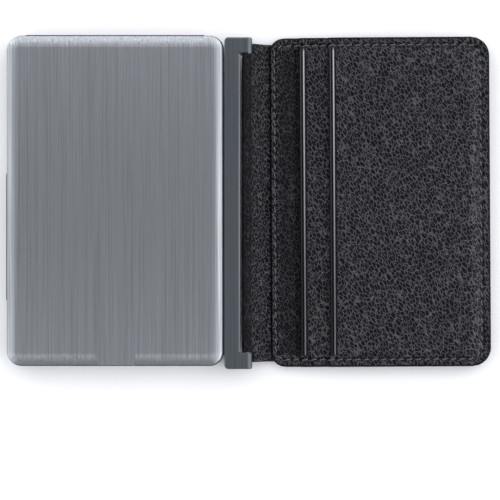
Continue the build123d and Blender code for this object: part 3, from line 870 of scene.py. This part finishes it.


# %% [markdown]
# ### Milled black leather
# Black drum-dyed leather with a light pigment finish.  The mesh has the large cells' relief; the shader adds
# the crisp part: thin raised walls between cells 0.9 mm across and between cells half that size, and long
# wrinkles, all stretched along the hide's direction and bent by a slow noise.  The raised lines are smoother
# and painted lighter, a painted highlight; the dimples between them are duller and painted near black, a
# painted shade.  The strength kept on the mesh smooths the grain over folds.  It is also lowered to paint
# shade into the needle holes and the base strip, and raised to paint a highlight on the front pocket's free
# side.  The second value kept on the mesh lightens the outer cover's rubbed edge, which is wear, and paints a
# highlight along the pockets' folded mouths.

# %% Coordinates of the hide
def hide_coordinates(tree, where):
    """Object coordinates turned so that X runs along the hide, and the same bent by a slow noise."""
    turned = add(tree, "ShaderNodeMapping", values={"Rotation": (0.0, 0.0, -grain_turn)},
                 links={"Vector": where.outputs["Object"]})
    slow = add(tree, "ShaderNodeTexNoise", values={"Scale": per_mm(6.0), "Detail": 1.0},
               links={"Vector": where.outputs["Object"]})
    wander = add(tree, "ShaderNodeVectorMath", {"operation": "SCALE"}, values={"Scale": 0.9 * mm},
                 links={0: slow.outputs["Color"]})
    bent = add(tree, "ShaderNodeVectorMath", {"operation": "ADD"},
               links={0: turned.outputs[0], 1: wander.outputs[0]})
    return turned, bent


def stretched(tree, bent, size_mm, stretch):
    """Coordinates in which a cell is size_mm across and `stretch` times as long."""
    scale = (per_mm(size_mm * stretch), per_mm(size_mm), per_mm(size_mm))
    return add(tree, "ShaderNodeMapping", values={"Scale": scale}, links={"Vector": bent.outputs[0]})


# %% Raised lines of the grain
def raised_line(tree, distance, width):
    """Height of a line: 1 where the distance is 0, falling smoothly to 0 at `width`."""
    return add(tree, "ShaderNodeMapRange", {"interpolation_type": "SMOOTHSTEP"},
               values={1: 0.0, 2: width, 3: 1.0, 4: 0.0}, links={0: distance})


def cell_walls(tree, bent, size_mm, stretch, width):
    """Height of a net of cells: 1 on the thin walls, falling to 0 within `width` of a cell."""
    edges = add(tree, "ShaderNodeTexVoronoi", {"feature": "DISTANCE_TO_EDGE"}, values={"Scale": 1.0},
                links={"Vector": stretched(tree, bent, size_mm, stretch).outputs[0]})
    return raised_line(tree, edges.outputs["Distance"], width)


def wrinkles(tree, bent, size_mm, stretch, width):
    """Height of long wrinkles: 1 where a stretched noise crosses its middle, 0 at `width` from it."""
    waves = add(tree, "ShaderNodeTexNoise", values={"Scale": 1.0, "Detail": 1.5},
                links={"Vector": stretched(tree, bent, size_mm, stretch).outputs[0]})
    off = add(tree, "ShaderNodeMath", {"operation": "SUBTRACT"}, values={1: 0.5},
              links={0: waves.outputs[0]})
    size = add(tree, "ShaderNodeMath", {"operation": "ABSOLUTE"}, links={0: off.outputs[0]})
    return raised_line(tree, size.outputs[0], width)


def patchy_grain(tree, turned, bent):
    """The highest of three kinds of line, a little livelier in some places than in others."""
    layers = [(cell_walls(tree, bent, 0.9, 2.0, 0.18), 0.95),
              (cell_walls(tree, bent, 0.5, 1.8, 0.22), 0.4),
              (wrinkles(tree, bent, 1.2, 8.0, 0.02), 0.9)]
    raised = None
    for layer, share in layers:
        line = add(tree, "ShaderNodeMath", {"operation": "MULTIPLY"}, values={1: share},
                   links={0: layer.outputs[0]})
        raised = line if raised is None else add(tree, "ShaderNodeMath", {"operation": "MAXIMUM"},
                                                 links={0: raised.outputs[0], 1: line.outputs[0]})
    patch = add(tree, "ShaderNodeTexNoise", values={"Scale": per_mm(2.4), "Detail": 1.0},
                links={"Vector": turned.outputs[0]})
    lively = add(tree, "ShaderNodeMapRange", values={1: 0.35, 2: 0.65, 3: 0.9, 4: 1.08},
                 links={0: patch.outputs[0]})
    return add(tree, "ShaderNodeMath", {"operation": "MULTIPLY"},
               links={0: raised.outputs[0], 1: lively.outputs[0]})


# %% Colour of the leather
def leather_colour(tree, grained, pores, wear_and_painted_highlight):
    """Painted shade and highlight: near black in the dimples, dark grey on the lines; lighter still where the
    surface is worn or a highlight is painted.
    """
    tone = add(tree, "ShaderNodeMath", {"operation": "MULTIPLY_ADD"}, values={1: 0.08},
               links={0: pores.outputs[0], 2: grained.outputs[0]})
    spread = add(tree, "ShaderNodeMapRange", values={1: 0.4, 2: 1.15, 3: 0.0, 4: 1.0},
                 links={0: tone.outputs[0]})
    # Painted highlight and shade: the grain's raised lines are painted lighter, and its dimples near black.
    colour = two_tones(tree, "#020203", "#525056", spread)
    # The light grey is wear on the outer cover's edge and a painted highlight along the pockets' mouths.
    wear_and_highlight_mix = add(tree, "ShaderNodeMix", {"data_type": "RGBA"},
                 links={"Factor": wear_and_painted_highlight.outputs["Fac"], 6: colour})
    wear_and_highlight_mix.inputs[7].default_value = linear("#b4b2b8")
    return wear_and_highlight_mix.outputs[2]


# %% Leather
def milled_leather():
    """The grain, kept down where the mesh says so, drives the colour, the roughness and a fine bump."""
    material, tree, shader = new_material("milled_black_leather", IOR=1.5, Specular_IOR_Level=0.12)
    where = add(tree, "ShaderNodeTexCoord")
    strength = add(tree, "ShaderNodeAttribute", {"attribute_name": "grain", "attribute_type": "GEOMETRY"})
    wear_and_painted_highlight = add(tree, "ShaderNodeAttribute", {"attribute_name": "wear_and_painted_highlight", "attribute_type": "GEOMETRY"})
    patchy = patchy_grain(tree, *hide_coordinates(tree, where))
    grained = add(tree, "ShaderNodeMath", {"operation": "MULTIPLY"},
                  links={0: patchy.outputs[0], 1: strength.outputs["Fac"]})
    pores = add(tree, "ShaderNodeTexNoise",
                values={"Scale": per_mm(0.35), "Detail": 4.0, "Roughness": 0.7},
                links={"Vector": where.outputs["Object"]})
    tree.links.new(leather_colour(tree, grained, pores, wear_and_painted_highlight), shader.inputs["Base Color"])
    rough = add(tree, "ShaderNodeMapRange", values={1: 0.0, 2: 1.0, 3: 0.5, 4: 0.36},
                links={0: grained.outputs[0]})
    tree.links.new(rough.outputs[0], shader.inputs["Roughness"])
    height = add(tree, "ShaderNodeMath", {"operation": "MULTIPLY_ADD"}, values={1: 0.25},
                 links={0: pores.outputs[0], 2: grained.outputs[0]})
    bumped(tree, shader, height, 0.9, 0.16 * mm)
    return material


leather = milled_leather()

# %% Finish of each slot, on the design model's parts and on the pieces made here
finish_of_slot = {"brushed_aluminium": aluminium, "gunmetal_aluminium": gunmetal,
                  "black_moulding": moulding, "spring_steel": steel, "black_leather": leather,
                  "black_thread": thread, "lining_cloth": cloth, "fibre_board": board, "foam": foam}
for part in frame["record"]["subparts"]:
    data = nodes[part["node"]].data
    data.materials.clear()
    data.materials.append(finish_of_slot[part["material_slot"]])
for piece in (base, rear, front, outer, strap):
    piece.data.materials.append(leather)
for piece in (inner_stitches, outer_stitches):
    piece.data.materials.append(thread)

# %% [markdown]
# ## Studio
# A white floor, and soft light from the sides: strongest from +X, weaker from -X and +Y.  The -Y side is
# kept darker than the rest.  Straight overhead it is dim, because the flat metal face mirrors that part of
# the studio, and the brighter cloth beyond it lightens the face's two ends.  A large fill panel whitens the
# floor; glossy surfaces don't mirror it.

# %% Floor
floor_half = 2.5
floor = new_mesh("studio_floor", [(-floor_half, -floor_half, 0), (floor_half, -floor_half, 0),
                                  (floor_half, floor_half, 0), (-floor_half, floor_half, 0)], [(0, 1, 2, 3)])
floor.data.materials.append(textured("white_studio_paper", "#f0f0f0", "#f6f6f6", 0.9, 40.0, 0.01))


# %% Lights
def soft_light(name, place, size, power):
    """A rectangular panel at `place`, facing the object."""
    light = bpy.data.lights.new(name, "AREA")
    light.shape = "RECTANGLE"
    light.size, light.size_y = size
    light.energy = power
    lamp = bpy.data.objects.new(name, light)
    bpy.context.scene.collection.objects.link(lamp)
    lamp.location = place
    lamp.rotation_euler = (-Vector(place)).to_track_quat("-Z", "Y").to_euler()
    return lamp


fill = soft_light("overhead_fill", (0.0, 0.1, 0.9), (1.4, 1.2), 3.0)
fill.visible_glossy = False

# %% [markdown]
# The rest is the studio's white tent, which every glossy surface mirrors.  It is the world's background: its
# brightness depends only on direction, so it gives the same soft gradients that lit cloth walls give.  Each
# wall below is an axis, a side of it and the brightness that it adds.

# %% Light tent
overhead_y = 0.025
overhead_dim, overhead_bright = 0.115, 0.62
tent_walls = ((0, 1, 1.6), (0, -1, 0.95), (1, 1, 0.85), (1, -1, -0.28))
world = bpy.data.worlds.new("studio_tent")
bpy.context.scene.world = world
world.use_nodes = True
tent = world.node_tree
toward = add(tent, "ShaderNodeTexCoord")
axes = add(tent, "ShaderNodeSeparateXYZ", links={0: toward.outputs["Generated"]})
over_the_face = add(tent, "ShaderNodeMath", {"operation": "SUBTRACT"}, values={1: overhead_y},
                    links={0: axes.outputs[1]})
along = add(tent, "ShaderNodeMath", {"operation": "ABSOLUTE"}, links={0: over_the_face.outputs[0]})
brightness = add(tent, "ShaderNodeMapRange", {"interpolation_type": "SMOOTHSTEP"},
                 values={1: 0.0, 2: 0.18, 3: overhead_dim, 4: overhead_bright}, links={0: along.outputs[0]})
for wall_axis, sign, wall in tent_walls:
    side = add(tent, "ShaderNodeMapRange", {"interpolation_type": "SMOOTHSTEP"},
               values={1: 0.2 * sign, 2: 0.8 * sign, 3: 0.0, 4: wall}, links={0: axes.outputs[wall_axis]})
    brightness = add(tent, "ShaderNodeMath", {"operation": "ADD"},
                     links={0: brightness.outputs[0], 1: side.outputs[0]})
tent.links.new(brightness.outputs[0], tent.nodes["Background"].inputs["Strength"])
tent.nodes["Background"].inputs["Color"].default_value = linear("#f8faff")
bpy.context.scene.view_settings.view_transform = "Standard"

# %% [markdown]
# ## Camera
# Straight down with a long lens, so that the case's sides hardly show.  Its height follows from the width
# it has to see at the middle of the case's thickness.

# %% Camera
lens = 135.0
sensor = 36.0
view_width = 157.6 * mm
view_x, view_y = 0.3 * mm, -15.1 * mm
view_height = view_width * lens / sensor + (cad_low.z + cad_high.z) / 2
camera = bpy.data.cameras.new("camera")
camera.lens = lens
camera.sensor_width = sensor
camera_object = bpy.data.objects.new("camera", camera)
bpy.context.scene.collection.objects.link(camera_object)
camera_object.location = (view_x, view_y, view_height)
bpy.context.scene.camera = camera_object
